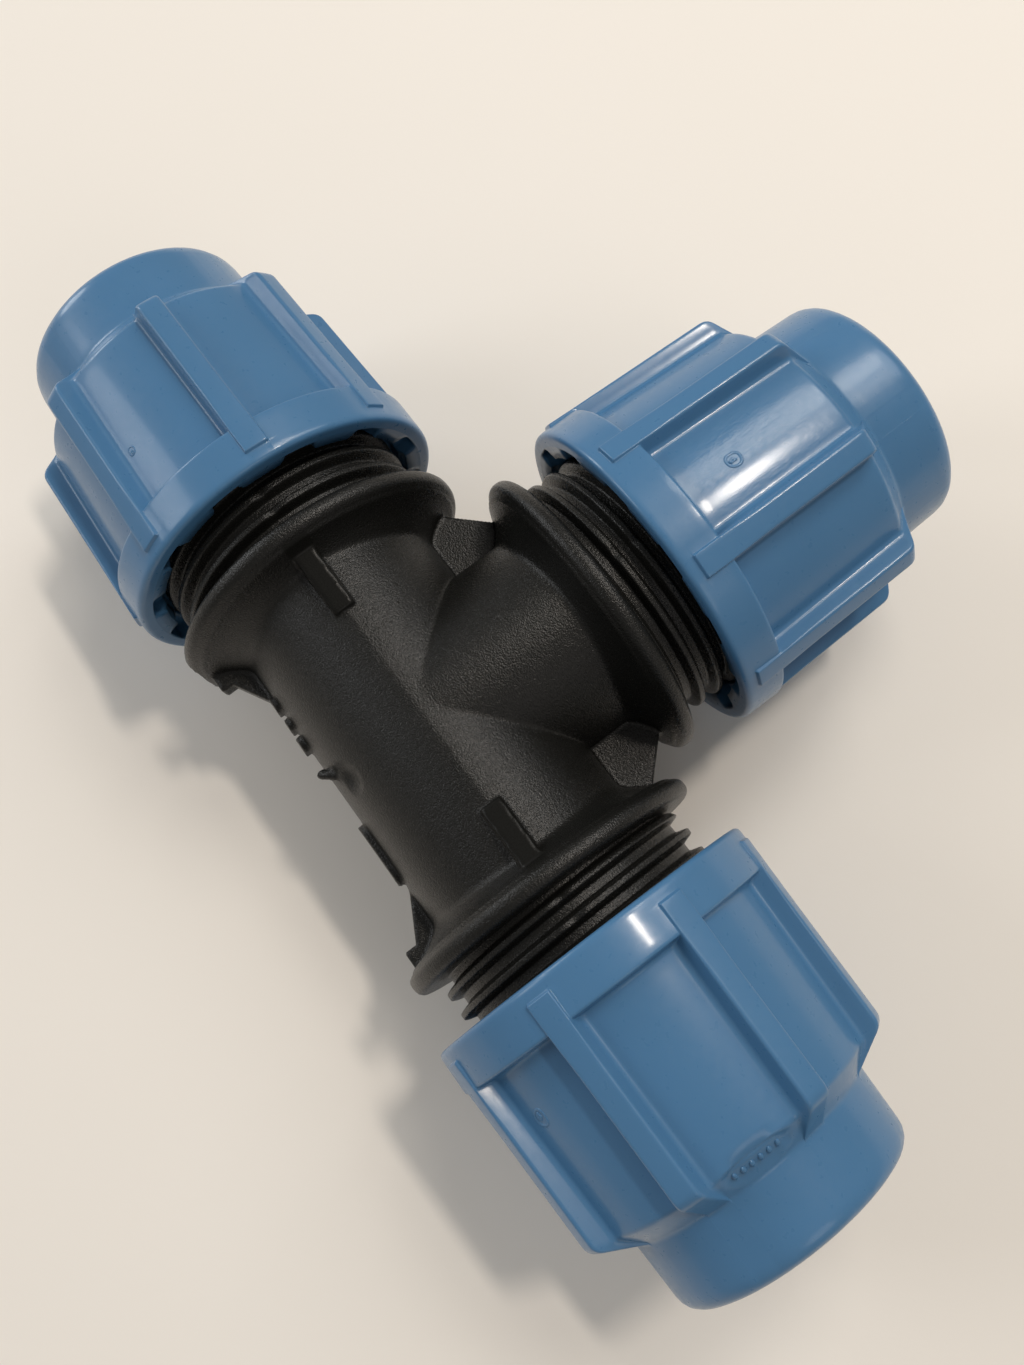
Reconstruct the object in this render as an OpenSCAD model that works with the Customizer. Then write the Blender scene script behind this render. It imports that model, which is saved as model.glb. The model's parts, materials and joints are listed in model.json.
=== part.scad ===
// Compression tee for 25 mm polyethylene pipe: a moulded body with three
// threaded sockets, each closed by a ribbed union nut that holds a split
// grip ring, a thrust bush and an O-ring.
// Millimetres, Z up. The run lies along X, the branch points along +Y.
// The origin is the bottom centre of the bounding box, nuts as drawn.

/* [Pipe] */
// radius of the pipe the fitting is made for
pipe_r = 12.5; // [12.3:0.1:12.7]
// radial room between the pipe and its socket
pipe_gap = 0.15; // [0.1:0.05:0.2]

/* [Body] */
// half width of the run tube, measured across the parting line
tube_half_w = 17; // [16.8:0.1:17.4]
// how far each half of the tube section is shifted, which leaves the ridge
tube_ridge = 1.8; // [1.4:0.1:2]
// branch tube rounding radius over its top
branch_r = 18.45; // [18.2:0.05:18.6]
// water way radius
bore_r = 10.2; // [9:0.1:11]
// flange radius
flange_r = 24.9; // [24.5:0.1:25.3]
// distance from the tee centre to the outer face of a flange
flange_s = 31.2; // [31:0.1:31.4]
// flange thickness
flange_t = 3; // [2.6:0.1:3.2]
// distance from the tee centre to the end of a threaded socket
socket_end_s = 50; // [49.5:0.1:50.2]
// thickness of the webs in the plane of the tee
web_t = 3.4; // [2.6:0.1:4]

/* [Thread] */
// thread pitch
pitch = 3.3; // [3.2:0.05:3.4]
// crest radius of the body thread
thread_crest_r = 21.3; // [21.1:0.05:21.35]
// depth of the thread
thread_depth = 1.7; // [1.5:0.05:1.7]
// radial room between the two threads
thread_gap = 0.4; // [0.38:0.01:0.42]

/* [Nut] */
// distance from the tee centre to the mouth of a nut, as drawn
mouth_s = 39.1; // [38.9:0.1:39.6]
// collar radius
collar_r = 27; // [26.8:0.1:27.2]
// collar length
collar_len = 6.7; // [6:0.1:7.2]
// panel radius beside the collar
panel_r = 24.4; // [24.2:0.1:24.8]
// panel radius at the shoulder
panel_end_r = 23.3; // [23:0.1:23.8]
// length from the mouth to the shoulder
shoulder_s = 32.3; // [32:0.1:33]
// length from the mouth to the outer end of the neck
nut_len = 46.7; // [46.5:0.1:47.5]
// neck radius at its outer end
neck_r = 19.3; // [19:0.1:19.8]
// number of ribs
rib_count = 8; // [6:2:10]
// rib width
rib_w = 3.8; // [3:0.1:4.4]
// rib radius beside the collar
rib_r = 27.5; // [27.2:0.1:27.8]
// rib radius at the shoulder
rib_end_r = 26.5; // [26.2:0.1:27]
// number of pockets around the mouth
pocket_count = 12; // [8:4:12]

/* [Hidden] */
$fn = 72;
eps = 0.02;

// angle of the first rib of each nut about its own outward axis
rib_turn_left = 7.6;
rib_turn_right = 20.8;
rib_turn_branch = 21.1;
// where the thread crest starts at zero angle, from the tee centre
helix_left = 31.6;
helix_right = 31.3;
helix_branch = 32;

tube_round_r = tube_half_w + tube_ridge;
pipe_socket_r = pipe_r + pipe_gap;
pipe_stop_s = 14.5;
hub_s = 22.5;
flange_in_s = flange_s - flange_t;

// seal housing in the socket mouth
seal_r = 16.9;
seal_s = 38;
oring_wire_r = 2.2;
oring_r = seal_r - oring_wire_r - 0.05;
oring_s = seal_s + oring_wire_r + 0.05;
bush_s = oring_s + oring_wire_r + 0.05;
bush_end_s = 51.5;
bush_r = seal_r - 0.3;
bush_in_r = pipe_socket_r + 0.15;

// the sleeve that carries the thread ring inside it
sleeve_r = 18;
ring_in_r = 17.5;
thread_steps = 32;
thread_rows_per_turn = 8;
thread_fade = 1.6;

// nut inside, measured from the mouth
nut_bore_r = 22;
nut_thread_s = 3.4;
nut_thread_end_s = 15;
nut_step_s = 19.2;
cone_r = 18.6;
cone_end_r = 14.2;
cone_end_s = 44.5;
nut_hole_r = 13.2;
neck_root_r = neck_r + 0.5;
neck_s = shoulder_s + 3.2;
neck_round = 2.6;
lip_round = 1.6;
pocket_w = 5;
pocket_r = 24.7;
pocket_deep = 2.6;

// grip ring, measured from the mouth of its nut
grip_s = 19.7;
grip_end_s = 41;
grip_gap = 0.3;
grip_slot_deg = 16;
tooth_n = 5;

// where the bounding box lies about the tee centre
function rib_reach(turn, dir) =
  max([for (k = [0:rib_count - 1])
    rib_r * cos(turn + k * 360 / rib_count - dir)
    + rib_w / 2 * abs(sin(turn + k * 360 / rib_count - dir))]);
low_z = max(rib_reach(rib_turn_left, 0), rib_reach(rib_turn_right, 0),
  rib_reach(rib_turn_branch, 90));
back_y = max(rib_reach(rib_turn_left, 90), rib_reach(rib_turn_right, 90));
front_y = mouth_s + nut_len;
shift = [0, (back_y - front_y) / 2, low_z];

// ---------- frames: local Z points out of the port ----------
module port_right() {
  translate(shift)
    rotate([0, 90, 0])
      children();
}

module port_left() {
  translate(shift)
    rotate([0, -90, 0])
      children();
}

module port_branch() {
  translate(shift)
    rotate([-90, 0, 0])
      children();
}

// ---------- threads ----------
// radius of the right-hand body thread at angle a and place s on the axis
function thread_r(a, s, helix) =
  let (wave = (1 + cos(360 * (s - helix) / pitch - a)) / 2)
  thread_crest_r - thread_depth * (1 - pow(wave, 1.4));

// the body thread dies away towards the end of its socket
function body_thread_r(a, s, helix) =
  let (keep = min(1, max(0, (socket_end_s - s) / thread_fade)))
  thread_crest_r - thread_depth
    + keep * (thread_r(a, s, helix) - thread_crest_r + thread_depth);

// A closed ring: one plain round wall, one wavy wall given row by row.
// It overlaps the wall it is joined to, so that only its ends cut that wall.
module wavy_ring(radii, s0, s1, plain_r) {
  n = thread_steps;
  rows = len(radii);
  step = (s1 - s0) / (rows - 1);
  wavy = [for (j = [0:rows - 1], i = [0:n - 1])
    let (a = i * 360 / n, r = radii[j][i])
    [r * cos(a), r * sin(a), s0 + j * step]];
  plain = [for (s = [s0, s1], i = [0:n - 1])
    let (a = i * 360 / n)
    [plain_r * cos(a), plain_r * sin(a), s]];
  p = rows * n;
  top = (rows - 1) * n;
  out = radii[0][0] > plain_r;
  side = [for (j = [0:rows - 2], i = [0:n - 1], t = [0, 1])
    let (a = j * n + i, b = j * n + (i + 1) % n)
    t == 0 ? [a, a + n, b] : [b, a + n, b + n]];
  core = [for (i = [0:n - 1], t = [0, 1])
    let (a = p + i, b = p + (i + 1) % n)
    t == 0 ? [a, b, a + n] : [b, b + n, a + n]];
  low = [for (i = [0:n - 1], t = [0, 1])
    let (a = i, b = (i + 1) % n)
    t == 0 ? [a, b, p + a] : [b, p + b, p + a]];
  high = [for (i = [0:n - 1], t = [0, 1])
    let (a = i, b = (i + 1) % n)
    t == 0 ? [top + a, p + n + a, top + b] : [top + b, p + n + a, p + n + b]];
  all = concat(side, core, low, high);
  turned = [for (f = all) [f[0], f[2], f[1]]];
  polyhedron(points = concat(wavy, plain), faces = out ? all : turned);
}

function row_count(length) = 1 + ceil(length * thread_rows_per_turn / pitch);

module body_thread(helix) {
  s0 = flange_s - 0.6;
  s1 = socket_end_s - 0.5;
  rows = row_count(s1 - s0);
  radii = [for (j = [0:rows - 1])
    [for (i = [0:thread_steps - 1])
      body_thread_r(i * 360 / thread_steps, s0 + j * (s1 - s0) / (rows - 1), helix)]];
  wavy_ring(radii, s0, s1, ring_in_r);
}

module nut_thread(helix) {
  s0 = mouth_s + nut_thread_s;
  s1 = mouth_s + nut_thread_end_s;
  rows = row_count(s1 - s0);
  radii = [for (j = [0:rows - 1])
    [for (i = [0:thread_steps - 1])
      thread_gap
        + thread_r(i * 360 / thread_steps, s0 + j * (s1 - s0) / (rows - 1), helix)]];
  wavy_ring(radii, s0, s1, nut_bore_r + 0.7);
}

// ---------- tee body ----------
// section of a run tube: two shifted half rounds that meet in a ridge
module run_section() {
  intersection() {
    translate([0, -tube_ridge])
      circle(r = tube_round_r, $fn = 120);
    translate([0, tube_ridge])
      circle(r = tube_round_r, $fn = 120);
  }
}

module run_tube() {
  translate([-flange_in_s, 0, 0])
    rotate([90, 0, 90])
      linear_extrude(height = 2 * flange_in_s)
        run_section();
}

// the branch has the same section with its ridge rounded off
module branch_tube() {
  rotate([-90, 0, 0])
    linear_extrude(height = flange_in_s)
      intersection() {
        translate([-tube_ridge, 0])
          circle(r = tube_round_r, $fn = 120);
        translate([tube_ridge, 0])
          circle(r = tube_round_r, $fn = 120);
        circle(r = branch_r, $fn = 120);
      }
}

// hub, flange, plain step and sleeve of one port, in port coordinates
module port_turning() {
  rotate_extrude($fn = 120)
    polygon([
      [bore_r, hub_s],
      [tube_half_w + 0.3, hub_s],
      [tube_half_w + 1.5, hub_s + 2.6],
      [tube_half_w + 3.6, flange_in_s - 0.5],
      [flange_r - 0.9, flange_in_s],
      [flange_r - 0.2, flange_in_s + 0.5],
      [flange_r, flange_in_s + 1.2],
      [flange_r, flange_s - 1],
      [flange_r - 0.4, flange_s - 0.3],
      [flange_r - 1.1, flange_s],
      [sleeve_r, flange_s],
      [sleeve_r, socket_end_s - 0.4],
      [sleeve_r - 0.4, socket_end_s],
      [bore_r, socket_end_s]
    ]);
}

module port_hollow() {
  rotate_extrude($fn = 96)
    polygon([
      [0, 0],
      [bore_r, 0],
      [bore_r, pipe_stop_s],
      [pipe_socket_r, pipe_stop_s],
      [pipe_socket_r, seal_s - 0.6],
      [pipe_socket_r + 0.6, seal_s],
      [seal_r, seal_s],
      [seal_r, socket_end_s - 0.6],
      [seal_r + 0.6, socket_end_s + eps],
      [0, socket_end_s + eps]
    ]);
}

// webs in the plane of the tee, between the flanges
module corner_web(side) {
  edge = 48.6;
  low = 15;
  translate([0, 0, -web_t / 2])
    linear_extrude(height = web_t)
      polygon([
        [side * low, low],
        [side * (flange_in_s + 0.5), low],
        [side * (flange_in_s + 0.5), edge - flange_in_s - 0.5],
        [side * (edge - flange_in_s - 0.5), flange_in_s + 0.5],
        [side * low, flange_in_s + 0.5]
      ]);
}

// stepped gusset on the back of the run, beside each flange
module back_gusset(side) {
  translate([0, 0, -web_t / 2])
    linear_extrude(height = web_t)
      polygon([
        [side * 17.4, -15.5],
        [side * 17.4, -16.9],
        [side * 24.6, -20.8],
        [side * 24.6, -22.8],
        [side * (flange_in_s + 0.5), -22.8],
        [side * (flange_in_s + 0.5), -15.5]
      ]);
}

// wedge on the ridge beside each flange, above and below
module ridge_wedge(side, up) {
  translate([0, 1.5, 0])
    rotate([90, 0, 0])
      linear_extrude(height = 3)
        polygon([
          [side * 17.2, up * 15.5],
          [side * 17.2, up * 19.4],
          [side * (flange_in_s + 0.5), up * 21.4],
          [side * (flange_in_s + 0.5), up * 15.5]
        ]);
}

module tee_core() {
  difference() {
    union() {
      run_tube();
      branch_tube();
      rotate([0, 90, 0])
        port_turning();
      rotate([0, -90, 0])
        port_turning();
      rotate([-90, 0, 0])
        port_turning();
      for (side = [-1, 1]) {
        corner_web(side);
        back_gusset(side);
        ridge_wedge(side, 1);
        ridge_wedge(side, -1);
      }
    }
    rotate([0, 90, 0])
      port_hollow();
    rotate([0, -90, 0])
      port_hollow();
    rotate([-90, 0, 0])
      port_hollow();
  }
}

module tee_body() {
  color("#2b2b2b") {
    translate(shift)
      tee_core();
    port_right()
      body_thread(helix_right);
    port_left()
      body_thread(helix_left);
    port_branch()
      body_thread(helix_branch);
  }
}

// ---------- union nut, mouth at z = 0 ----------
module nut_outside() {
  rotate_extrude($fn = 120)
    polygon([
      [nut_bore_r - 1, 0],
      [collar_r - lip_round, 0],
      [collar_r - 0.45, 0.45],
      [collar_r, lip_round],
      [collar_r, collar_len - 0.8],
      [panel_r + 0.5, collar_len],
      [panel_r, collar_len + 0.6],
      [panel_end_r, shoulder_s - 0.6],
      [panel_end_r - 0.5, shoulder_s],
      [neck_root_r, neck_s],
      [neck_r, nut_len - neck_round],
      [neck_r - 0.76, nut_len - 0.76],
      [neck_r - neck_round, nut_len],
      [nut_hole_r - 1, nut_len],
      [nut_hole_r - 1, nut_bore_r]
    ]);
}

module nut_rib(turn) {
  rotate([0, 0, turn])
    translate([0, rib_w / 2, 0])
      rotate([90, 0, 0])
        linear_extrude(height = rib_w)
          polygon([
            [panel_end_r - 1.5, 2.1],
            [rib_r, 2.1],
            [rib_end_r, shoulder_s - 0.8],
            [rib_end_r - 0.8, shoulder_s],
            [neck_root_r - 0.4, neck_s + 0.3],
            [neck_root_r - 2, neck_s - 1.5]
          ]);
}

module nut_hollow() {
  rotate_extrude($fn = 96)
    polygon([
      [0, -eps],
      [nut_bore_r + 1.4, -eps],
      [nut_bore_r + 0.6, 1.6],
      [nut_bore_r, 2.2],
      [nut_bore_r, nut_step_s - 0.8],
      [nut_bore_r - 0.8, nut_step_s],
      [cone_r, nut_step_s],
      [cone_end_r, cone_end_s],
      [nut_hole_r, cone_end_s],
      [nut_hole_r, nut_len - 0.6],
      [nut_hole_r + 0.6, nut_len + eps],
      [0, nut_len + eps]
    ]);
}

module nut_pockets() {
  for (k = [0:pocket_count - 1])
    rotate([0, 0, k * 360 / pocket_count])
      translate([nut_bore_r - 1, -pocket_w / 2, -eps])
        cube([pocket_r - nut_bore_r + 1, pocket_w, pocket_deep]);
}

module nut_shell(turn) {
  difference() {
    union() {
      nut_outside();
      for (k = [0:rib_count - 1])
        nut_rib(turn + k * 360 / rib_count);
    }
    nut_hollow();
    nut_pockets();
  }
}

module union_nut(turn, helix) {
  color("#4d86c6") {
    translate([0, 0, mouth_s])
      nut_shell(turn);
    nut_thread(helix);
  }
}

module union_nut_left() {
  port_left()
    union_nut(rib_turn_left, helix_left);
}

module union_nut_right() {
  port_right()
    union_nut(rib_turn_right, helix_right);
}

module union_nut_branch() {
  port_branch()
    union_nut(rib_turn_branch, helix_branch);
}

// ---------- split grip ring ----------
function cone_at(s) =
  cone_r + (cone_end_r - cone_r) * (s - nut_step_s) / (cone_end_s - nut_step_s);

module grip_section() {
  tooth = (grip_end_s - grip_s - 2) / tooth_n;
  polygon(concat(
    [[pipe_socket_r + 0.9, grip_s]],
    [[cone_at(grip_s) - grip_gap, grip_s]],
    [[cone_at(grip_end_s) - grip_gap, grip_end_s]],
    [[pipe_socket_r + 0.4, grip_end_s]],
    [for (k = [0:tooth_n - 1], e = [0, 1])
      let (s = grip_end_s - 1 - k * tooth)
      e == 0 ? [pipe_socket_r + 0.05, s]
        : [pipe_socket_r + 0.9, s - tooth + 0.3]]
  ));
}

module grip_ring() {
  color("#e8e6e0")
    translate([0, 0, mouth_s])
      rotate([0, 0, grip_slot_deg / 2])
        rotate_extrude(angle = 360 - grip_slot_deg, $fn = 96)
          grip_section();
}

module grip_ring_left() {
  port_left()
    grip_ring();
}

module grip_ring_right() {
  port_right()
    grip_ring();
}

module grip_ring_branch() {
  port_branch()
    grip_ring();
}

// ---------- thrust bush ----------
module thrust_bush() {
  color("#303236")
    rotate_extrude($fn = 96)
      polygon([
        [bush_in_r, bush_s],
        [bush_r - 0.4, bush_s],
        [bush_r, bush_s + 0.4],
        [bush_r, bush_end_s - 0.4],
        [bush_r - 0.4, bush_end_s],
        [bush_in_r + 0.5, bush_end_s],
        [bush_in_r, bush_end_s - 0.5]
      ]);
}

module thrust_bush_left() {
  port_left()
    thrust_bush();
}

module thrust_bush_right() {
  port_right()
    thrust_bush();
}

module thrust_bush_branch() {
  port_branch()
    thrust_bush();
}

// ---------- O-ring ----------
module o_ring() {
  color("#161616")
    translate([0, 0, oring_s])
      rotate_extrude($fn = 96)
        translate([oring_r, 0])
          circle(r = oring_wire_r, $fn = 36);
}

module o_ring_left() {
  port_left()
    o_ring();
}

module o_ring_right() {
  port_right()
    o_ring();
}

module o_ring_branch() {
  port_branch()
    o_ring();
}

tee_body();
union_nut_left();
union_nut_right();
union_nut_branch();
grip_ring_left();
grip_ring_right();
grip_ring_branch();
thrust_bush_left();
thrust_bush_right();
thrust_bush_branch();
o_ring_left();
o_ring_right();
o_ring_branch();
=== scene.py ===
"""Looks of the compression tee: skins for the body and nuts, materials, light and camera."""

import json
import math

import bpy
import numpy as np
from mathutils import Matrix, Vector


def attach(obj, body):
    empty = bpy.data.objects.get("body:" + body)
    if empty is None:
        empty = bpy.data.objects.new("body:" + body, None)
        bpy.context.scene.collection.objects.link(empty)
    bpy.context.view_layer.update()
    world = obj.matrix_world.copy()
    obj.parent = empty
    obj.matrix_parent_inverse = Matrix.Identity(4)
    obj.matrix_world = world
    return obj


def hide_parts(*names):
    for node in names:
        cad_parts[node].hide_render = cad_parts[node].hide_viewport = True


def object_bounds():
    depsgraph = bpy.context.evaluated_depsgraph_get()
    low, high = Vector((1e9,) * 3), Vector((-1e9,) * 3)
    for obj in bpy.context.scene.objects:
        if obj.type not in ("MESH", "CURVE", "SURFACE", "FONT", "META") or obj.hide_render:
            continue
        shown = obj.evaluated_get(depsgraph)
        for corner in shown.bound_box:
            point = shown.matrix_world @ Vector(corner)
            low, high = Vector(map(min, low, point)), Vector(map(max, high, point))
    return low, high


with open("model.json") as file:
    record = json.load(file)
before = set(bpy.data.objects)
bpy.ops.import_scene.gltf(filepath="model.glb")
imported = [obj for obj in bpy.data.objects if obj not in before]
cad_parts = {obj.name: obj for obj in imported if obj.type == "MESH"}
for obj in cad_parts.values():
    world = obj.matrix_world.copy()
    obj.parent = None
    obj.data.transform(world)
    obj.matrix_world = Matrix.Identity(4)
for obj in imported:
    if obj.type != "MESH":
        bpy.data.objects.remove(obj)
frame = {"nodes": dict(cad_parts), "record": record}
cad_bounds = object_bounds()

MM = 0.001
PORTS = ("left", "right", "branch")

# ---------------------------------------------------------------- dimensions
# Millimetres in port coordinates: z runs out of the port, from the tee centre.
# The tube's section is two arcs of radius TUBE_ROUND that meet in a ridge.
TUBE_HALF_W = 17.0
TUBE_RIDGE = 1.8
TUBE_ROUND = TUBE_HALF_W + TUBE_RIDGE
FLANGE_R = 24.9
FLANGE_OUT = 31.2
FLANGE_T = 3.0
FLANGE_IN = FLANGE_OUT - FLANGE_T
HUB = 22.5
SOCKET_END = 50.0
SKIN_CUT_R = 17.6

# Webs and gussets lie in the plane of the tee, wedges stand on the ridge.
WEB_T = 3.4
WEB_EDGE = 48.1
WEB_ROOT = 14.0
GUSSET_START = (17.4, 16.9)
GUSSET_SLOPE = 3.9 / 7.2
GUSSET_TAB = (26.6, 19.0, 2.0, 3.8)
WEDGE_START = 17.2
WEDGE_LOW = 19.4
WEDGE_RISE = 0.175
WEDGE_HALF = 1.65

# Threads on the sockets; HELIX is where a crest starts on each port.
PITCH = 3.3
CREST_R = 21.3
ROOT_R = 19.5
HELIX = {"left": 31.6, "right": 31.3, "branch": 32.0}
PARTING = {"left": 0.0, "right": math.pi, "branch": -math.pi / 2}

# The bore, from the waterway to the pipe's socket and the seal's seat.
PIPE_SOCKET_R = 12.65
WATER_R = 10.2
PIPE_STOP = 14.5
SEAL_R = 16.9
SEAL_S = 38.0

# The nut: MOUTH is from the tee centre, the other lengths are from the nut's mouth.
MOUTH = 39.1
MOUTH_EDGE_R = 24.9
NUT_LEN = 46.7
COLLAR_R = 27.0
COLLAR_LEN = 6.7
PANEL_R = 24.4
PANEL_END_R = 23.3
PANEL_STEPS = 22
SHOULDER = 32.3
NECK_R = 19.3
NECK_ROOT_R = 19.8
NECK_S = 35.5
NECK_RIM_R = 13.9
RIBS = 8
RIB_HALF = 1.85
RIB_R = 27.5
RIB_END_R = 26.5
RIB_DRAFT = 0.18
RIB_TURN = {"left": 7.6, "right": 20.8, "branch": 21.1}
NUT_BORE = 22.0
NUT_CREST_R = 20.1
NUT_STEP = 19.2
CONE_R = 18.6
CONE_END_R = 14.2
CONE_END = 44.5
NUT_HOLE = 13.2
POCKETS = 12
POCKET_HALF_DEG = 6.2
POCKET_TURN = {"left": 5.0, "right": 0.0, "branch": 0.0}
POCKET_R = 24.7
POCKET_DEEP = 2.7
FACE_DEEP = 0.35

# On the back of the run, from the tee centre. The gate runs between two points, the dish is a
# ball (centre, radius), and a pad is (x, z, half length, half height, how far it stands out).
GATE = ((-0.9, -14.2, 7.4), (-2.9, -17.0, 7.0))
DISH = (0.9, -16.1, 11.9, 3.5)
PADS = (
    (-17.2, 2.2, 1.5, 2.2, 0.8),
    (-13.2, 2.2, 1.1, 2.2, 0.8),
    (-9.6, 2.2, 1.4, 2.2, 0.95),
    (11.0, 1.6, 5.4, 2.4, 0.95),
)

# Gate marks on the nuts: angle about the port axis, distance from the mouth, and scale.
NUT_GATE = {
    "left": (-27.7, 16.2, 0.55),
    "right": (-128.4, 14.4, 1.0),
    "branch": (-89.7, 15.8, 0.95),
}

# Scuffed patch on the branch nut: angle, distance from the mouth, and how far it fades each way.
SCUFF = (-89.7, 17.5, 13.0, 9.0)

# Lens-shaped dip on a shoulder: angle, half angle, place, half length, depth.
LENS_DIP = (179.5, 14.5, 33.2, 1.55, 0.55)
DOTS = 6
DOT_STEP_DEG = 3.5

# ------------------------------------------------------------------- frames
mounts = {m["name"]: m for m in frame["record"]["mounts"]}
centre = Vector((
    mounts["pipe_socket_branch"]["pos_m"][0],
    mounts["pipe_socket_right"]["pos_m"][1],
    mounts["pipe_socket_right"]["pos_m"][2],
))
PORT_AXES = {
    "right": np.array([[0, 0, -1], [0, 1, 0], [1, 0, 0]], float),
    "left": np.array([[0, 0, 1], [0, 1, 0], [-1, 0, 0]], float),
    "branch": np.array([[1, 0, 0], [0, 0, -1], [0, 1, 0]], float),
}


def placed(points, port=None):
    """Points in millimetres, in port or tee coordinates, as points of the part in metres."""
    points = np.asarray(points, float)
    if port:
        points = points @ PORT_AXES[port]
    return points * MM + np.array(centre)


def make_object(name, points, faces, body):
    """A smooth-shaded mesh that rides on a body of the frame."""
    mesh = bpy.data.meshes.new(name)
    mesh.from_pydata([tuple(p) for p in points], [], [tuple(int(i) for i in f) for f in faces])
    mesh.validate()
    mesh.update()
    obj = bpy.data.objects.new(name, mesh)
    bpy.context.scene.collection.objects.link(obj)
    mesh.polygons.foreach_set("use_smooth", [True] * len(mesh.polygons))
    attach(obj, body)
    return obj


def mark_points(obj, name, values):
    """A number at each vertex, for a material to read."""
    layer = obj.data.attributes.new(name, "FLOAT", "POINT")
    layer.data.foreach_set("value", values.astype(np.float32))


# ------------------------------------------------------------ profile helpers
def rounded_profile(corners, arc_n=5):
    """A polyline through (s, r, radius, pieces) corners, rounded at each corner.

    Each corner gives arc_n + 1 points, and each stretch before it `pieces` extra points,
    so two profiles with the same pieces have points that match one to one.
    """
    pts = [np.array(c[:2], float) for c in corners]
    out = [pts[0]]
    prev_exit = pts[0]
    for i in range(1, len(pts)):
        p = pts[i]
        if i < len(pts) - 1:
            a = pts[i - 1] - p
            b = pts[i + 1] - p
            la, lb = np.linalg.norm(a), np.linalg.norm(b)
            a, b = a / max(la, 1e-9), b / max(lb, 1e-9)
            turn = math.acos(float(np.clip(np.dot(a, b), -1, 1)))
            cut = max(corners[i][2] / max(math.tan(turn / 2), 1e-3), 0.12)
            cut = min(cut, 0.48 * la, 0.48 * lb)
            enter, leave = p + a * cut, p + b * cut
        else:
            enter = leave = p
        for k in range(1, corners[i][3] + 1):
            out.append(prev_exit + (enter - prev_exit) * k / (corners[i][3] + 1))
        for k in range(arc_n + 1):
            t = k / arc_n
            if i == len(pts) - 1:
                if k == 0:
                    out.append(p)
                continue
            out.append((1 - t) ** 2 * enter + 2 * t * (1 - t) * p + t**2 * leave)
        prev_exit = leave
    return np.array(out)


def grid_faces(rows, cols, flip=False):
    """Quads between rows of points that each close on themselves."""
    faces = []
    for j in range(rows - 1):
        for i in range(cols):
            a = j * cols + i
            b = j * cols + (i + 1) % cols
            c = b + cols
            d = a + cols
            faces.append((a, d, c, b) if flip else (a, b, c, d))
    return faces


def ring(r, s, ang):
    """Points round the port axis at s, with one radius or a radius for each angle."""
    return np.stack([r * np.cos(ang), r * np.sin(ang), np.full(len(ang), s)], 1)


def smooth_step(x, low, high):
    t = np.clip((x - low) / (high - low), 0, 1)
    return t * t * (3 - 2 * t)


# ---------------------------------------------------------------------- nuts
def nut_profiles():
    """Matching profiles of the nut's outside: over a panel and over a rib."""
    panel = [
        (0.0, MOUTH_EDGE_R, 0, 0),
        (0.0, COLLAR_R, 1.6, 1),
        (2.05, COLLAR_R, 0, 1),
        (2.35, COLLAR_R, 0, 0),
        (COLLAR_LEN, COLLAR_R, 0.55, 3),
        (COLLAR_LEN + 0.35, PANEL_R, 0.8, 1),
        (SHOULDER, PANEL_END_R, 1.3, 14),
        (NECK_S, NECK_ROOT_R, 1.4, 2),
        (NUT_LEN, NECK_R, 2.9, 6),
        (NUT_LEN, NECK_RIM_R, 0.4, 3),
        (NUT_LEN - 0.6, NUT_HOLE, 0, 0),
    ]
    rib = [
        (0.0, MOUTH_EDGE_R, 0, 0),
        (0.0, COLLAR_R, 1.6, 1),
        (2.05, COLLAR_R, 0.12, 1),
        (2.3, RIB_R, 0.25, 0),
        (COLLAR_LEN, RIB_R - 0.17, 0, 3),
        (COLLAR_LEN + 0.35, RIB_R - 0.185, 0, 1),
        (SHOULDER - 0.3, RIB_END_R, 2.2, 14),
        (NECK_S + 0.15, NECK_ROOT_R - 0.02, 1.0, 2),
        (NUT_LEN, NECK_R, 2.9, 6),
        (NUT_LEN, NECK_RIM_R, 0.4, 3),
        (NUT_LEN - 0.6, NUT_HOLE, 0, 0),
    ]
    return rounded_profile(panel), rounded_profile(rib)


def dip_depth(recess, angle, s):
    """How deep the lens-shaped dip is at an angle and a distance from the mouth."""
    if recess is None:
        return 0.0
    middle, half_angle, place, half_length, deep = recess
    off = abs((angle - middle + 180) % 360 - 180) / half_angle
    wide = max(1 - off * off, 0.0) ** 0.5 * half_length
    return deep * float(smooth_step(wide - abs(s - place), 0.0, 0.35))


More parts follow.
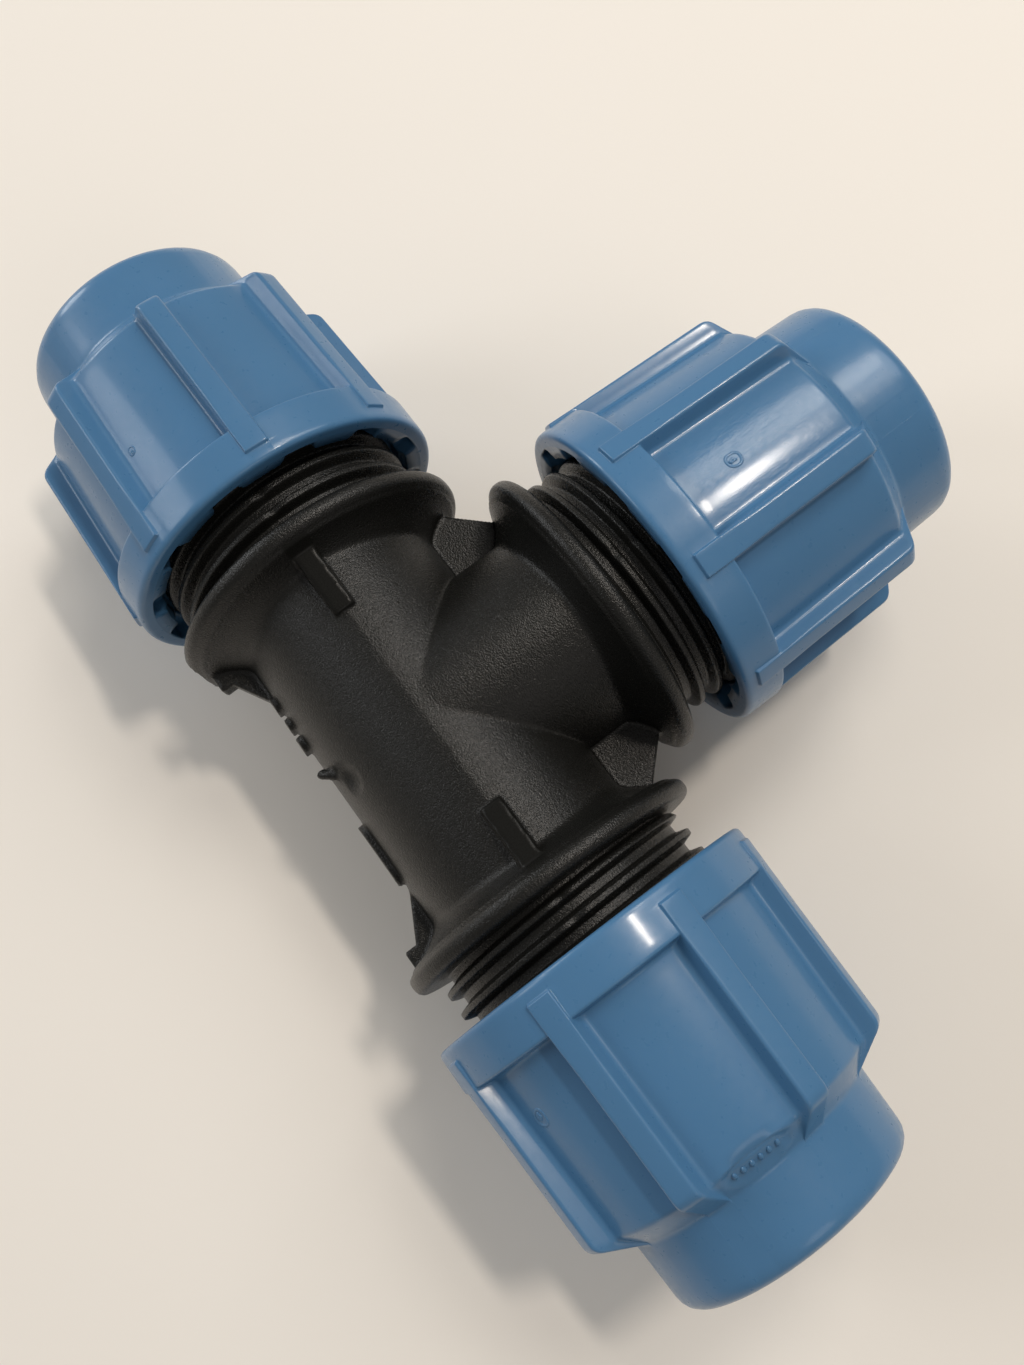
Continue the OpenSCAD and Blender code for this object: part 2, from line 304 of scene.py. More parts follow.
def nut_outside(turn, recess=None):
    """The nut's skin: panels and ribs, with a dip in the shoulder if there is a recess."""
    base, top = nut_profiles()
    arc = np.linspace(0, math.pi / 2, 5)
    rows = []
    for (sp, rp), (st, rt) in zip(base, top):
        high = max(math.hypot(st - sp, rt - rp), 1e-4)
        # a rib's top edge is crisp on the collar and softer over the panels
        edge = min(0.22 + 0.28 * float(smooth_step(st, COLLAR_LEN, 14)), 0.4 * high)
        foot = min(0.8, 0.4 * high)
        slope = RIB_DRAFT * min(1.0, high / 3.0)
        half = [(0.0, 1.0), (0.6, 1.0), (1.15, 1.0)]
        for a in arc:
            half.append((RIB_HALF - edge + edge * math.sin(a),
                         1 - (edge - edge * math.cos(a)) / high))
        half.append((RIB_HALF + slope * 0.5, 0.5))
        for a in arc:
            half.append((RIB_HALF + slope + foot * (1 - math.cos(a)),
                         (foot - foot * math.sin(a)) / high))
        half.append((RIB_HALF + 1.5, 0.0))
        row = []
        for k in range(RIBS):
            phi = math.radians(turn + k * 360 / RIBS)
            side = []
            for t, h in half:
                s = sp + h * (st - sp)
                r = rp + h * (rt - rp)
                side.append((math.asin(min(t / r, 1)), r, s))
            left = [(-d, r, s) for d, r, s in reversed(side[1:])]
            for d, r, s in left + side:
                row.append((r * math.cos(phi + d), r * math.sin(phi + d), s))
            start = side[-1][0]
            stop = 2 * math.pi / RIBS - start
            for q in range(1, PANEL_STEPS):
                d = start + (stop - start) * q / PANEL_STEPS
                r = rp - dip_depth(recess, math.degrees(phi + d), sp)
                row.append((r * math.cos(phi + d), r * math.sin(phi + d), sp))
        rows.append(row)
    cols = len(rows[0])
    pts = np.array(rows).reshape(-1, 3)
    return pts, grid_faces(len(rows), cols)


def thread_wave(angle, s, helix):
    """A rounded trapezoid thread: 1 on the crest, 0 in the root."""
    return smooth_step(np.cos(2 * math.pi * (s - helix) / PITCH - angle), -0.5, 0.82)


def nut_inside(port):
    """The nut's inner surface: pockets at the mouth, thread, step and cone."""
    n = POCKETS * 20
    s_rows = np.concatenate([
        [0.0, 0.12, FACE_DEEP, 0.7, 1.1, 1.5, 1.9, 2.25, 2.5, 2.62, 2.74, 2.9, 3.2],
        np.arange(3.4, NUT_STEP - 0.8, 0.22),
    ])
    ang = np.linspace(0, 2 * math.pi, n, endpoint=False)
    cell = 2 * math.pi / POCKETS
    local = ((ang - math.radians(POCKET_TURN[port])) % cell) - cell / 2
    half = math.radians(POCKET_HALF_DEG)
    mask = 1 - smooth_step(np.abs(local), half - 0.02, half + 0.02)
    rows = []
    for s in s_rows:
        # a nearly flat face between the pockets, then a short lead-in
        if s < FACE_DEEP:
            inwards = float(smooth_step(s, 0.0, FACE_DEEP))
            plain = MOUTH_EDGE_R - (MOUTH_EDGE_R - NUT_BORE - 0.6) * inwards
        else:
            plain = NUT_BORE + 0.6 * (1 - smooth_step(s, 0.7, 2.2))
        depth = 1 - smooth_step(s, POCKET_DEEP - 0.25, POCKET_DEEP + 0.05)
        r = plain + np.clip(POCKET_R - plain, 0, 9) * mask * depth
        thread = smooth_step(s, 3.0, 4.6)
        wave = thread_wave(ang, MOUTH + s, HELIX[port] + PITCH / 2)
        r = r - thread * (NUT_BORE - NUT_CREST_R) * wave * (1 - smooth_step(s, 15.5, 17.5))
        rows.append(ring(r, s, ang))
    tail = rounded_profile([
        (NUT_STEP - 0.7, NUT_BORE, 0, 0),
        (NUT_STEP, NUT_BORE - 0.7, 0, 0),
        (NUT_STEP, CONE_R, 0.3, 0),
        (CONE_END, CONE_END_R, 0.3, 3),
        (CONE_END, NUT_HOLE, 0.3, 0),
        (NUT_LEN - 0.6, NUT_HOLE, 0, 1),
    ], 3)
    rows += [ring(r, s, ang) for s, r in tail]
    return np.array(rows).reshape(-1, 3), grid_faces(len(rows), n, flip=True)


def build_nut(port):
    out_p, out_f = nut_outside(RIB_TURN[port], LENS_DIP if port == "right" else None)
    in_p, in_f = nut_inside(port)
    shift = np.array([0, 0, MOUTH])
    pts = np.concatenate([out_p, in_p]) + shift
    faces = [tuple(f) for f in out_f] + [tuple(i + len(out_p) for i in f) for f in in_f]
    nut = make_object(f"nut_skin_{port}", placed(pts, port), faces, f"nut_{port}")
    if port == "branch":
        # the panel round the gate mark is scuffed
        turn = np.degrees(np.arctan2(pts[:, 1], pts[:, 0])) - SCUFF[0]
        turn = (turn + 180) % 360 - 180
        worn = np.exp(-(turn / SCUFF[2]) ** 2 - ((pts[:, 2] - MOUTH - SCUFF[1]) / SCUFF[3]) ** 2)
        mark_points(nut, "scuff", worn)
    return nut


def panel_radius(s):
    """Radius of a panel at a distance from the nut's mouth."""
    return PANEL_R + (PANEL_END_R - PANEL_R) * (s - COLLAR_LEN) / (SHOULDER - COLLAR_LEN)


def lathe_on(port, angle, s, r, tilt, profile, squash=(1.0, 1.0), n=28, wobble=0.0, seed=0):
    """A small turned shape standing on the nut at an angle, s from the mouth and radius r."""
    rng = np.random.default_rng(seed)
    phase = rng.uniform(0, 2 * math.pi, 3)
    ang = np.linspace(0, 2 * math.pi, n, endpoint=False)
    out = 1 + wobble * sum(np.sin((k + 2) * ang + phase[k]) for k in range(3)) / 2
    a = math.radians(angle)
    radial = np.array([math.cos(a), math.sin(a), 0])
    tangent = np.array([-math.sin(a), math.cos(a), 0])
    axial = np.array([0, 0, 1.0])
    t = math.radians(tilt)
    normal = radial * math.cos(t) + axial * math.sin(t)
    along = axial * math.cos(t) - radial * math.sin(t)
    base = radial * r + axial * (s + MOUTH)
    rows = []
    for rho, h in profile:
        u = rho * out * np.cos(ang) * squash[0]
        v = rho * out * np.sin(ang) * squash[1]
        rows.append(base + u[:, None] * tangent + v[:, None] * along + h * normal)
    pts = np.concatenate(rows + [[base + profile[-1][1] * normal]])
    faces = grid_faces(len(profile), n)
    last = (len(profile) - 1) * n
    faces += [(last + i, last + (i + 1) % n, len(pts) - 1) for i in range(n)]
    return pts, faces


def joined(parts):
    """Points and faces of several pieces as one."""
    pts, faces, start = [], [], 0
    for p, f in parts:
        pts.append(p)
        faces += [tuple(i + start for i in face) for face in f]
        start += len(p)
    return np.concatenate(pts), faces


def build_gate_mark(port):
    """The gate mark on a panel: a low ring around a broken stub."""
    angle, s, k = NUT_GATE[port]
    r = panel_radius(s)
    ring = [(1.35, -0.2), (1.3, -0.02), (1.2, 0.08), (1.0, 0.1), (0.84, 0.02), (0.66, -0.12)]
    stub = [(0.6, -0.2), (0.55, 0.02), (0.42, 0.2), (0.22, 0.16), (0.05, 0.1)]
    ring = [(rho * k, h) for rho, h in ring]
    stub = [(rho * k, h) for rho, h in stub]
    parts = [
        lathe_on(port, angle, s, r, 2.5, ring, (1.0, 1.15), wobble=0.06, seed=3),
        lathe_on(port, angle, s - 0.25, r, 2.5, stub, (0.8, 1.1), wobble=0.25, seed=5),
    ]
    pts, faces = joined(parts)
    return make_object(f"gate_mark_{port}", placed(pts, port), faces, f"nut_{port}")


def build_dots():
    """Plain moulding dots on the shoulder of one nut."""
    parts = []
    dot = [(0.5, -0.2), (0.47, 0.03), (0.36, 0.14), (0.16, 0.2), (0.05, 0.21)]
    for k in range(DOTS):
        angle = LENS_DIP[0] + DOT_STEP_DEG * (k - (DOTS - 1) / 2)
        r = PANEL_END_R + (NECK_ROOT_R - PANEL_END_R) * 0.34 - LENS_DIP[4] * 0.6
        parts.append(lathe_on("right", angle, SHOULDER + 1.05, r, 46, dot, (0.75, 1.3), n=18))
    pts, faces = joined(parts)
    return make_object("shoulder_dots", placed(pts, "right"), faces, "nut_right")


# -------------------------------------------------------------- signed fields
def smin(a, b, k):
    """The nearer of two fields, blended over a width k."""
    h = np.clip(0.5 + 0.5 * (b - a) / k, 0, 1)
    return b * (1 - h) + a * h - k * h * (1 - h)


def smax(a, b, k):
    return -smin(-a, -b, k)


def round_box(qx, qy, hx, hy, r):
    """A rectangle with rounded corners, by half sizes."""
    dx = np.abs(qx) - (hx - r)
    dy = np.abs(qy) - (hy - r)
    return np.hypot(np.maximum(dx, 0), np.maximum(dy, 0)) + np.minimum(np.maximum(dx, dy), 0) - r


def lens(u, w, k):
    """The tube's section, with its ridges rounded over a width k."""
    a = np.hypot(u + TUBE_RIDGE, w) - TUBE_ROUND
    b = np.hypot(u - TUBE_RIDGE, w) - TUBE_ROUND
    return np.maximum(a, b) if k == 0 else smax(a, b, k)


def flange(s, r):
    """A round flange with a thicker root."""
    disc = round_box(s - (FLANGE_OUT + FLANGE_IN) / 2, r, FLANGE_T / 2, FLANGE_R, 1.35)
    # the back of the disc leans outwards towards the rim
    lean = (FLANGE_IN - 0.9 + (r - 18) * 0.14) - s
    cone = np.maximum(np.maximum(lean, s - FLANGE_OUT + 0.8), r - FLANGE_R + 1.6)
    return smin(disc, cone, 0.5)


def hub(s, r):
    """The flared hub that carries a flange."""
    u = s - HUB
    reach = 16.4 + 0.10 * u + 0.20 * u * np.abs(u)
    steep = np.sqrt(1 + (0.10 + 0.40 * np.abs(u)) ** 2)
    flare = np.maximum((r - reach) / steep, r - FLANGE_R + 1.9)
    return np.maximum(flare, np.maximum(HUB - 1.5 - s, s - FLANGE_OUT + 1))


def body_field(p):
    """Distance to the outside of the body, in tee coordinates."""
    x, y, z = p[..., 0], p[..., 1], p[..., 2]
    ax = np.abs(x)
    az = np.abs(z)
    r_run = np.hypot(y, z)
    r_br = np.hypot(x, z)
    run = np.maximum(lens(y, z, 0), ax - (FLANGE_OUT - 0.5))
    run = smin(run, smin(hub(ax, r_run), flange(ax, r_run), 1.3), 0.45)
    branch = np.maximum(lens(x, z, 0.9), y - (FLANGE_OUT - 0.5))
    branch = smin(branch, smin(hub(y, r_br), flange(y, r_br), 1.3), 0.45)
    branch = np.maximum(branch, -y)
    body = smin(run, branch, 0.14)
    # webs between the flanges, in the plane of the tee
    web = np.maximum((ax + y - WEB_EDGE) / math.sqrt(2), np.maximum(ax, y) - FLANGE_OUT + 1)
    web = np.maximum(web, WEB_ROOT - np.minimum(ax, y))
    web = smax(web, az - WEB_T / 2, 0.2)
    # stepped gussets at the back
    line = (-y - GUSSET_START[1]) - (ax - GUSSET_START[0]) * GUSSET_SLOPE
    gusset = np.maximum(np.maximum(line * 0.88, 17.0 - ax), ax - FLANGE_IN - 1)
    gusset = np.maximum(gusset, y + 14)
    tab_x, tab_y, half_x, half_y = GUSSET_TAB
    tab = np.maximum(np.abs(ax - tab_x) - half_x, np.abs(y + tab_y) - half_y)
    gusset = smax(np.minimum(gusset, tab), az - WEB_T / 2, 0.4)
    # wedges on the ridge
    rise = az - (WEDGE_LOW + (ax - WEDGE_START) * WEDGE_RISE)
    wedge = np.maximum(np.maximum(rise, WEDGE_START - ax), ax - FLANGE_IN - 1)
    wedge = smax(np.maximum(wedge, 14 - az), np.abs(y) - WEDGE_HALF, 0.22)
    body = smin(body, web, 0.2)
    body = smin(body, gusset, 0.45)
    body = smin(body, wedge, 0.12)
    return back_details(body, x, y, z)


def back_details(body, x, y, z):
    """The moulding gate in its dimple, and plain raised pads, on the back of the run."""
    dish = np.sqrt((x - DISH[0]) ** 2 + (y - DISH[1]) ** 2 + (z - DISH[2]) ** 2) - DISH[3]
    body = smax(body, -dish, 0.6)
    ragged = 0.16 * np.sin(7.1 * x + 1.3) * np.sin(6.3 * z + 0.4)
    ragged += 0.12 * np.sin(11.0 * x + 9.0 * z)
    a, b = np.array(GATE[0]), np.array(GATE[1])
    q = np.stack([x - a[0], y - a[1], z - a[2]], -1)
    t = np.clip((q @ (b - a)) / ((b - a) @ (b - a)), 0, 1)
    stub = np.linalg.norm(q - t[..., None] * (b - a), axis=-1) - 1.05 + 0.3 * t
    body = smin(body, stub + ragged, 0.3)
    skin = lens(y, z, 0)
    for px, pz, hx, hz, high in PADS:
        pad = np.maximum(round_box(x - px, z - pz, hx, hz, min(hx, hz) * 0.9), y + 8)
        pad = np.maximum(pad, skin - high)
        body = smin(body, pad, 0.25)
    return body


def bore_field(p):
    """Distance to the wall of the waterway and the pipe sockets."""
    x, y, z = p[..., 0], p[..., 1], p[..., 2]
    ax = np.abs(x)
    r_run = np.hypot(y, z)
    r_br = np.hypot(x, z)
    run = np.minimum(
        np.maximum(r_run - WATER_R, ax - 40),
        np.maximum(np.maximum(r_run - PIPE_SOCKET_R, ax - 40), PIPE_STOP - ax),
    )
    branch = np.minimum(
        np.maximum(np.maximum(r_br - WATER_R, y - 40), -y),
        np.maximum(np.maximum(r_br - PIPE_SOCKET_R, y - 40), PIPE_STOP - y),
    )
    return np.minimum(run, branch)


def surface_nets(field, low, high, step, settle=3):
    """Quads of the zero surface of a field inside a box, drawn onto the surface itself."""
    axes = [np.arange(a, b + step, step) for a, b in zip(low, high)]
    grid = np.stack(np.meshgrid(*axes, indexing="ij"), -1).astype(np.float32)
    d = field(grid).astype(np.float32)
    n0, n1, n2 = d.shape
    inside = d < 0
    total = np.zeros((n0 - 1, n1 - 1, n2 - 1, 3), np.float32)
    count = np.zeros((n0 - 1, n1 - 1, n2 - 1), np.float32)
    crossings = []
    for axis in range(3):
        a = [slice(None)] * 3
        b = [slice(None)] * 3
        a[axis] = slice(0, -1)
        b[axis] = slice(1, None)
        da, db = d[tuple(a)], d[tuple(b)]
        cross = inside[tuple(a)] != inside[tuple(b)]
        crossings.append((cross, inside[tuple(a)]))
        t = np.where(cross, da / np.where(cross, da - db, 1), 0)
        spot = np.zeros(cross.shape + (3,), np.float32)
        idx = np.meshgrid(*[np.arange(m) for m in cross.shape], indexing="ij")
        for q in range(3):
            spot[..., q] = idx[q]
        spot[..., axis] += t
        spot *= cross[..., None]
        u, v = [q for q in range(3) if q != axis]
        for du in (0, 1):
            for dv in (0, 1):
                src = [slice(None)] * 3
                src[u] = slice(du, du + d.shape[u] - 1)
                src[v] = slice(dv, dv + d.shape[v] - 1)
                total += spot[tuple(src)]
                count += cross[tuple(src)]
    used = count > 0
    index = -np.ones(used.shape, np.int64)
    index[used] = np.arange(used.sum())
    verts = total[used] / count[used][:, None] * step + np.array(low)
    faces = []
    for axis in range(3):
        cross, first = crossings[axis]
        u, v = [q for q in range(3) if q != axis]
        where = np.argwhere(cross)
        keep = (where[:, u] > 0) & (where[:, v] > 0)
        keep &= (where[:, u] < d.shape[u] - 1) & (where[:, v] < d.shape[v] - 1)
        where = where[keep]
        starts = first[tuple(where.T)]
        corners = []
        for du, dv in ((-1, -1), (0, -1), (0, 0), (-1, 0)):
            w = where.copy()
            w[:, u] += du
            w[:, v] += dv
            corners.append(index[tuple(w.T)])
        quad = np.stack(corners, 1)
        flip = starts if axis != 1 else ~starts
        quad[~flip] = quad[~flip][:, ::-1]
        faces.append(quad)
    faces = np.concatenate(faces)
    e = 0.02
    for _ in range(settle):
        dist = field(verts)
        grad = np.stack([
            field(verts + np.eye(3)[q] * e) - field(verts - np.eye(3)[q] * e) for q in range(3)
        ], 1) / (2 * e)
        size = np.maximum((grad**2).sum(1), 0.25)
        move = -(dist / size)[:, None] * grad
        length = np.linalg.norm(move, axis=1, keepdims=True)
        verts = verts + move * np.minimum(1, 0.5 * step / np.maximum(length, 1e-9))
    return verts, faces


def build_body():
    """The skin of the body and the wall of its bore."""
    step = 0.45
    low = (-31.95 - step, -24.3, -25.65)
    high = (32.4, 32.4, 25.65)
    # the grid has cell middles on the planes y = 0 and z = 0, so the ridge stays sharp
    low = tuple((math.floor(a / step) + 0.5) * step for a in low)
    pts, faces = surface_nets(body_field, low, high, step)
    # the sleeves close the port mouths, so the skin is open there
    x, y, z = pts.T
    s = np.maximum(np.abs(x), y)
    r = np.where(np.abs(x) >= y, np.hypot(y, z), np.hypot(x, z))
    gone = (s > FLANGE_OUT - 0.3) & (r < SKIN_CUT_R)
    faces = faces[~gone[faces].any(1)]
    skin = make_object("tee_skin", placed(pts), faces, "tee")
    # the tops of the wedges are moulded smooth, without the grain
    on_ridge = (np.abs(y) < WEDGE_HALF + 0.25) & (np.abs(z) > WEDGE_LOW - 0.5)
    mark_points(skin, "plain", on_ridge & (np.abs(x) > 17.0) & (np.abs(x) < FLANGE_IN))
    pts, faces = surface_nets(bore_field, (-38.4, -13.3, -13.3), (38.4, 38.4, 13.3), 0.7)
    s = np.maximum(np.abs(pts[:, 0]), pts[:, 1])
    faces = faces[~(s > 37.9)[faces].any(1)]
    bore = make_object("tee_bore", placed(pts), faces[:, ::-1], "tee")
    return skin, bore


def build_sleeve(port):
    """A threaded socket, from the flange to its end and into the seal's seat."""
    n = 192
    ang = np.linspace(0, 2 * math.pi, n, endpoint=False)
    rows = []
    start, stop = FLANGE_OUT - 0.6, SOCKET_END
    # the parting line runs through the thread at the top and bottom of the lying part
    off = np.abs(np.mod(ang - PARTING[port] + math.pi / 2, math.pi) - math.pi / 2)
    cut = 1 - 0.3 * (1 - smooth_step(off, math.radians(1.0), math.radians(3.0)))
    for s in np.arange(start, stop - 0.45, 0.14):
        wave = thread_wave(ang, s, HELIX[port])
        grow = smooth_step(s, FLANGE_OUT - 0.3, FLANGE_OUT + 1.8)
        fade = 1 - smooth_step(s, stop - 2.4, stop - 0.9)
        r = ROOT_R + (CREST_R - ROOT_R) * wave * fade * cut * (0.35 + 0.65 * grow)
        rows.append(ring(r, s, ang))
    tail = rounded_profile([
        (stop - 0.4, ROOT_R, 0, 0),
        (stop, ROOT_R - 0.4, 0.1, 0),
        (stop, SEAL_R + 0.6, 0.2, 1),
        (stop - 0.6, SEAL_R, 0.2, 0),
        (SEAL_S, SEAL_R, 0.3, 6),
        (SEAL_S, PIPE_SOCKET_R + 0.6, 0.2, 1),
        (SEAL_S - 0.6, PIPE_SOCKET_R, 0, 0),
    ], 3)
    rows += [ring(r, s, ang) for s, r in tail]
    pts = np.array(rows).reshape(-1, 3)
    return make_object(f"tee_thread_{port}", placed(pts, port), grid_faces(len(rows), n), "tee")


# ------------------------------------------------------------------ materials
# Each colour wanders between two tones.
BLUE_RANGE = (0.058, 0.162, 0.308), (0.068, 0.181, 0.338)
BLACK_RANGE = (0.0065, 0.0065, 0.006), (0.010, 0.010, 0.009)
PAPER_RANGE = (0.80, 0.76, 0.70), (0.84, 0.80, 0.745)


def new_material(name):
    mat = bpy.data.materials.new(name)
    mat.use_nodes = True
    tree = mat.node_tree
    tree.nodes.clear()
    out = tree.nodes.new("ShaderNodeOutputMaterial")
    bsdf = tree.nodes.new("ShaderNodeBsdfPrincipled")
    tree.links.new(bsdf.outputs["BSDF"], out.inputs["Surface"])
    coord = tree.nodes.new("ShaderNodeTexCoord")
    return mat, tree, bsdf, coord


def noise(tree, coord, scale, detail=2.0, rough=0.5, stretch=(1, 1, 1)):
    mapping = tree.nodes.new("ShaderNodeMapping")
    mapping.inputs["Scale"].default_value = stretch
    tree.links.new(coord.outputs["Object"], mapping.inputs["Vector"])
    node = tree.nodes.new("ShaderNodeTexNoise")
    node.inputs["Scale"].default_value = scale
    node.inputs["Detail"].default_value = detail
    node.inputs["Roughness"].default_value = rough
    tree.links.new(mapping.outputs["Vector"], node.inputs["Vector"])
    return node


def ramp(tree, source, low, high, a, b):
    node = tree.nodes.new("ShaderNodeMapRange")
    node.inputs["From Min"].default_value = low
    node.inputs["From Max"].default_value = high
    node.inputs["To Min"].default_value = a
    node.inputs["To Max"].default_value = b
    tree.links.new(source, node.inputs["Value"])
    return node.outputs["Result"]


def bump(tree, bsdf, height, strength, distance, chain=None):
    node = tree.nodes.new("ShaderNodeBump")
    node.inputs["Strength"].default_value = strength
    node.inputs["Distance"].default_value = distance
    tree.links.new(height, node.inputs["Height"])
    if chain is not None:
        tree.links.new(chain.outputs["Normal"], node.inputs["Normal"])
    tree.links.new(node.outputs["Normal"], bsdf.inputs["Normal"])
    return node


def mix_colour(tree, factor, a, b):
    node = tree.nodes.new("ShaderNodeMix")
    node.data_type = "RGBA"
    node.inputs["A"].default_value = (*a, 1)
    node.inputs["B"].default_value = (*b, 1)
    tree.links.new(factor, node.inputs["Factor"])
    return node.outputs["Result"]


def point_value(tree, name):
    """The number that mark_points put at each vertex, or 0 on a mesh without it."""
    node = tree.nodes.new("ShaderNodeAttribute")
    node.attribute_name = name
    return node.outputs["Fac"]


def blue_plastic():
    mat, tree, bsdf, coord = new_material("nut_blue")
    cloud = noise(tree, coord, 60, 3)
    tint = mix_colour(tree, cloud.outputs["Fac"], *BLUE_RANGE)
    tree.links.new(tint, bsdf.inputs["Base Color"])
    fine = noise(tree, coord, 900, 2)
    tree.links.new(ramp(tree, fine.outputs["Fac"], 0.3, 0.7, 0.27, 0.37), bsdf.inputs["Roughness"])
    wavy = noise(tree, coord, 140, 1.4)
    first = bump(tree, bsdf, wavy.outputs["Fac"], 0.13, 0.0002)
    second = bump(tree, bsdf, fine.outputs["Fac"], 0.12, 0.00005, first)
    strokes = noise(tree, coord, 700, 3, 0.65, (1.0, 0.4, 1.0))
    third = bump(tree, bsdf, strokes.outputs["Fac"], 0.0, 0.0003, second)
    worn = ramp(tree, point_value(tree, "scuff"), 0.0, 1.0, 0.0, 0.7)
    tree.links.new(worn, third.inputs["Strength"])
    bsdf.inputs["IOR"].default_value = 1.49
    bsdf.inputs["Specular IOR Level"].default_value = 0.28
    bsdf.inputs["Coat Weight"].default_value = 0.30
    bsdf.inputs["Coat Roughness"].default_value = 0.13
    bsdf.inputs["Subsurface Weight"].default_value = 0.06
    bsdf.inputs["Subsurface Radius"].default_value = (0.0006, 0.0010, 0.0018)
    return mat


def black_plastic():
    mat, tree, bsdf, coord = new_material("body_black")
    cloud = noise(tree, coord, 80, 3)
    tint = mix_colour(tree, cloud.outputs["Fac"], *BLACK_RANGE)
    tree.links.new(tint, bsdf.inputs["Base Color"])
    grain = noise(tree, coord, 4200, 2, 0.6)
    tree.links.new(ramp(tree, grain.outputs["Fac"], 0.3, 0.7, 0.24, 0.34), bsdf.inputs["Roughness"])
    coarse = noise(tree, coord, 2100, 2, 0.6)
    first = bump(tree, bsdf, coarse.outputs["Fac"], 0.5, 0.00012)
    second = bump(tree, bsdf, grain.outputs["Fac"], 0.9, 0.00009, first)
    plain = point_value(tree, "plain")
    for node, full in ((first, 0.5), (second, 0.9)):
        strength = ramp(tree, plain, 0.0, 1.0, full, 0.2 * full)
        tree.links.new(strength, node.inputs["Strength"])
    bsdf.inputs["IOR"].default_value = 1.5
    shine = ramp(tree, plain, 0.0, 1.0, 0.29, 0.12)
    tree.links.new(shine, bsdf.inputs["Specular IOR Level"])
    return mat


def plain_plastic(name, colour, rough):
    mat, tree, bsdf, coord = new_material(name)
    cloud = noise(tree, coord, 90, 3)
    dark = tuple(c * 0.92 for c in colour)
    tree.links.new(mix_colour(tree, cloud.outputs["Fac"], dark, colour), bsdf.inputs["Base Color"])
    fine = noise(tree, coord, 1200, 2)
    matt = ramp(tree, fine.outputs["Fac"], 0.3, 0.7, rough - 0.05, rough + 0.05)
    tree.links.new(matt, bsdf.inputs["Roughness"])
    bump(tree, bsdf, fine.outputs["Fac"], 0.2, 0.00005)
    return mat


def paper():
    mat, tree, bsdf, coord = new_material("paper")
    cloud = noise(tree, coord, 6, 4)
    tint = mix_colour(tree, cloud.outputs["Fac"], *PAPER_RANGE)
    tree.links.new(tint, bsdf.inputs["Base Color"])
    bsdf.inputs["Roughness"].default_value = 0.75
    fibre = noise(tree, coord, 300, 4)
    bump(tree, bsdf, fibre.outputs["Fac"], 0.15, 0.0002)
    return mat


def dress(obj, mat):
    obj.data.materials.clear()
    obj.data.materials.append(mat)


BLUE = blue_plastic()
BLACK = black_plastic()
WHITE = plain_plastic("grip_white", (0.72, 0.70, 0.66), 0.42)
BUSH = plain_plastic("bush_black", (0.030, 0.031, 0.034), 0.40)
RUBBER = plain_plastic("seal_rubber", (0.016, 0.016, 0.016), 0.55)

# ---------------------------------------------------------------------- build
for port in PORTS:
    nut = build_nut(port)
    dress(nut, BLUE)
    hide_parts(f"union_nut_{port}")
    sleeve = build_sleeve(port)
    dress(sleeve, BLACK)
    # the pieces inside stay as the CAD has them, with better materials
    for kind, mat in (("grip_ring", WHITE), ("thrust_bush", BUSH), ("o_ring", RUBBER)):
        piece = frame["nodes"][f"{kind}_{port}"]
        piece.data.materials.clear()
        piece.data.materials.append(mat)
    dress(build_gate_mark(port), BLUE)
dress(build_dots(), BLUE)
skin, bore = build_body()
for piece in (skin, bore):
    dress(piece, BLACK)
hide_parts("tee_body")

# ---------------------------------------------------------------------- stage
FLOOR_Z = cad_bounds[0][2]
FLOOR_SIZE = 3.0
LIGHT_AWAY = 1.1
WORLD_COLOUR = (1.0, 0.965, 0.92, 1)
WORLD_STRENGTH = 0.26
bpy.ops.mesh.primitive_plane_add(size=FLOOR_SIZE, location=(0, 0, FLOOR_Z))
floor = bpy.context.object
floor.name = "floor"
floor.data.materials.append(paper())


def area_light(name, azimuth, elevation, size, power, colour, high=None):
    """A lamp facing the tee; azimuth runs from +X to +Y, and size and high are its two widths."""
    data = bpy.data.lights.new(name, "AREA")
    data.shape = "ELLIPSE"
    data.size = size
    data.size_y = size if high is None else high
    data.energy = power
    data.color = colour
    obj = bpy.data.objects.new(name, data)
    bpy.context.scene.collection.objects.link(obj)
    az, el = math.radians(azimuth), math.radians(elevation)
    away = Vector((math.cos(el) * math.cos(az), math.cos(el) * math.sin(az), math.sin(el)))
    obj.location = centre + away * LIGHT_AWAY
    obj.rotation_euler = (-away).to_track_quat("-Z", "Y").to_euler()
    return obj


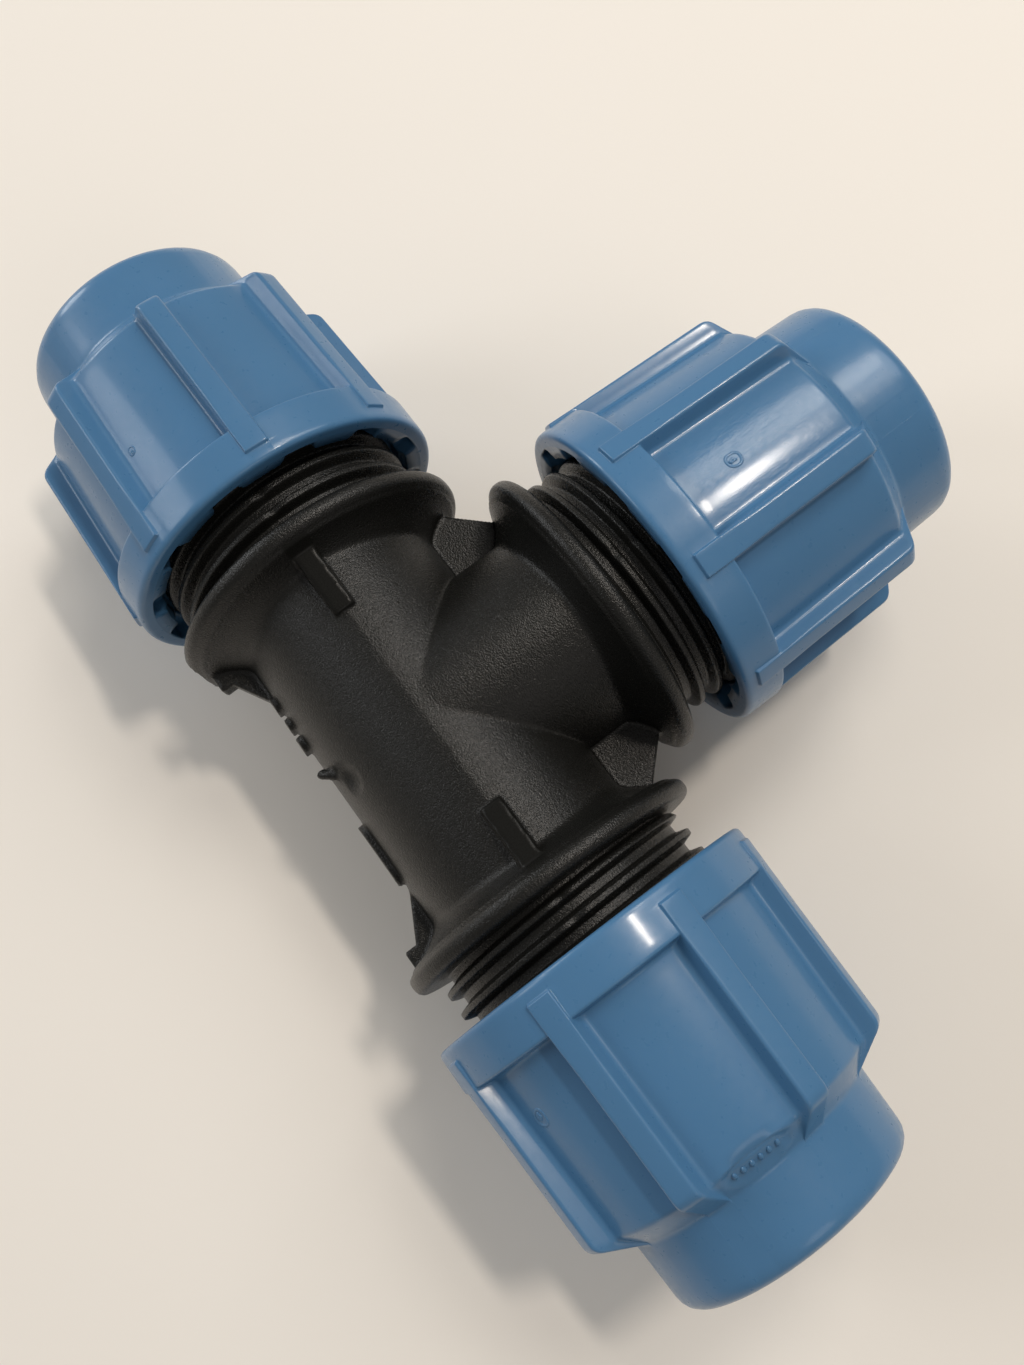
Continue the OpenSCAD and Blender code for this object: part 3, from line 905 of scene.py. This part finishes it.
area_light("key", 89, 63.5, 0.17, 3.7, (1.0, 0.90, 0.79), 0.07)
area_light("key_second", 122, 55, 0.36, 2.6, (1.0, 0.95, 0.87))
area_light("back", 103, 45, 0.50, 2.2, (0.96, 0.98, 1.0))
area_light("left_low", 200, 18, 0.40, 2.7, (0.97, 0.99, 1.0))
area_light("left_mid", 230, 32, 0.45, 2.1, (0.97, 0.98, 1.0))
area_light("right_mid", 8, 42, 0.45, 0.8, (1.0, 0.93, 0.90))
world = bpy.data.worlds.new("world")
world.use_nodes = True
sky = world.node_tree.nodes["Background"]
sky.inputs["Color"].default_value = WORLD_COLOUR
sky.inputs["Strength"].default_value = WORLD_STRENGTH
bpy.context.scene.world = world
bpy.context.scene.view_settings.view_transform = "Standard"

# --------------------------------------------------------------------- camera
# Angles in degrees, distance and target in millimetres from the tee centre, the focal length and
# shift as shares of the picture's width.
CAM_AZ, CAM_EL, CAM_ROLL = 68.37, 76.37, -15.46
CAM_DIST = 180.54
CAM_TARGET = (2.41, 14.79, 0.0)
CAM_FOCAL = 1.145371
CAM_SHIFT = (-0.008789, 0.002637)
SENSOR = 36.0
az, el, roll = (math.radians(v) for v in (CAM_AZ, CAM_EL, CAM_ROLL))
away = Vector((math.cos(el) * math.sin(az), -math.cos(el) * math.cos(az), math.sin(el)))
look = -away
right = look.cross(Vector((0, 0, 1))).normalized()
up = right.cross(look)
rolled = right * math.cos(roll) + up * math.sin(roll)
up = up * math.cos(roll) - right * math.sin(roll)
right = rolled
cam_data = bpy.data.cameras.new("camera")
cam_data.sensor_fit = "HORIZONTAL"
cam_data.sensor_width = SENSOR
cam_data.lens = SENSOR * CAM_FOCAL
cam_data.shift_x, cam_data.shift_y = CAM_SHIFT
cam_data.clip_start = 0.01
cam_data.dof.use_dof = False
camera = bpy.data.objects.new("camera", cam_data)
bpy.context.scene.collection.objects.link(camera)
spot = centre + (Vector(CAM_TARGET) + away * CAM_DIST) * MM
turn = Matrix((right, up, -look)).transposed().to_4x4()
camera.matrix_world = Matrix.Translation(spot) @ turn
bpy.context.scene.camera = camera
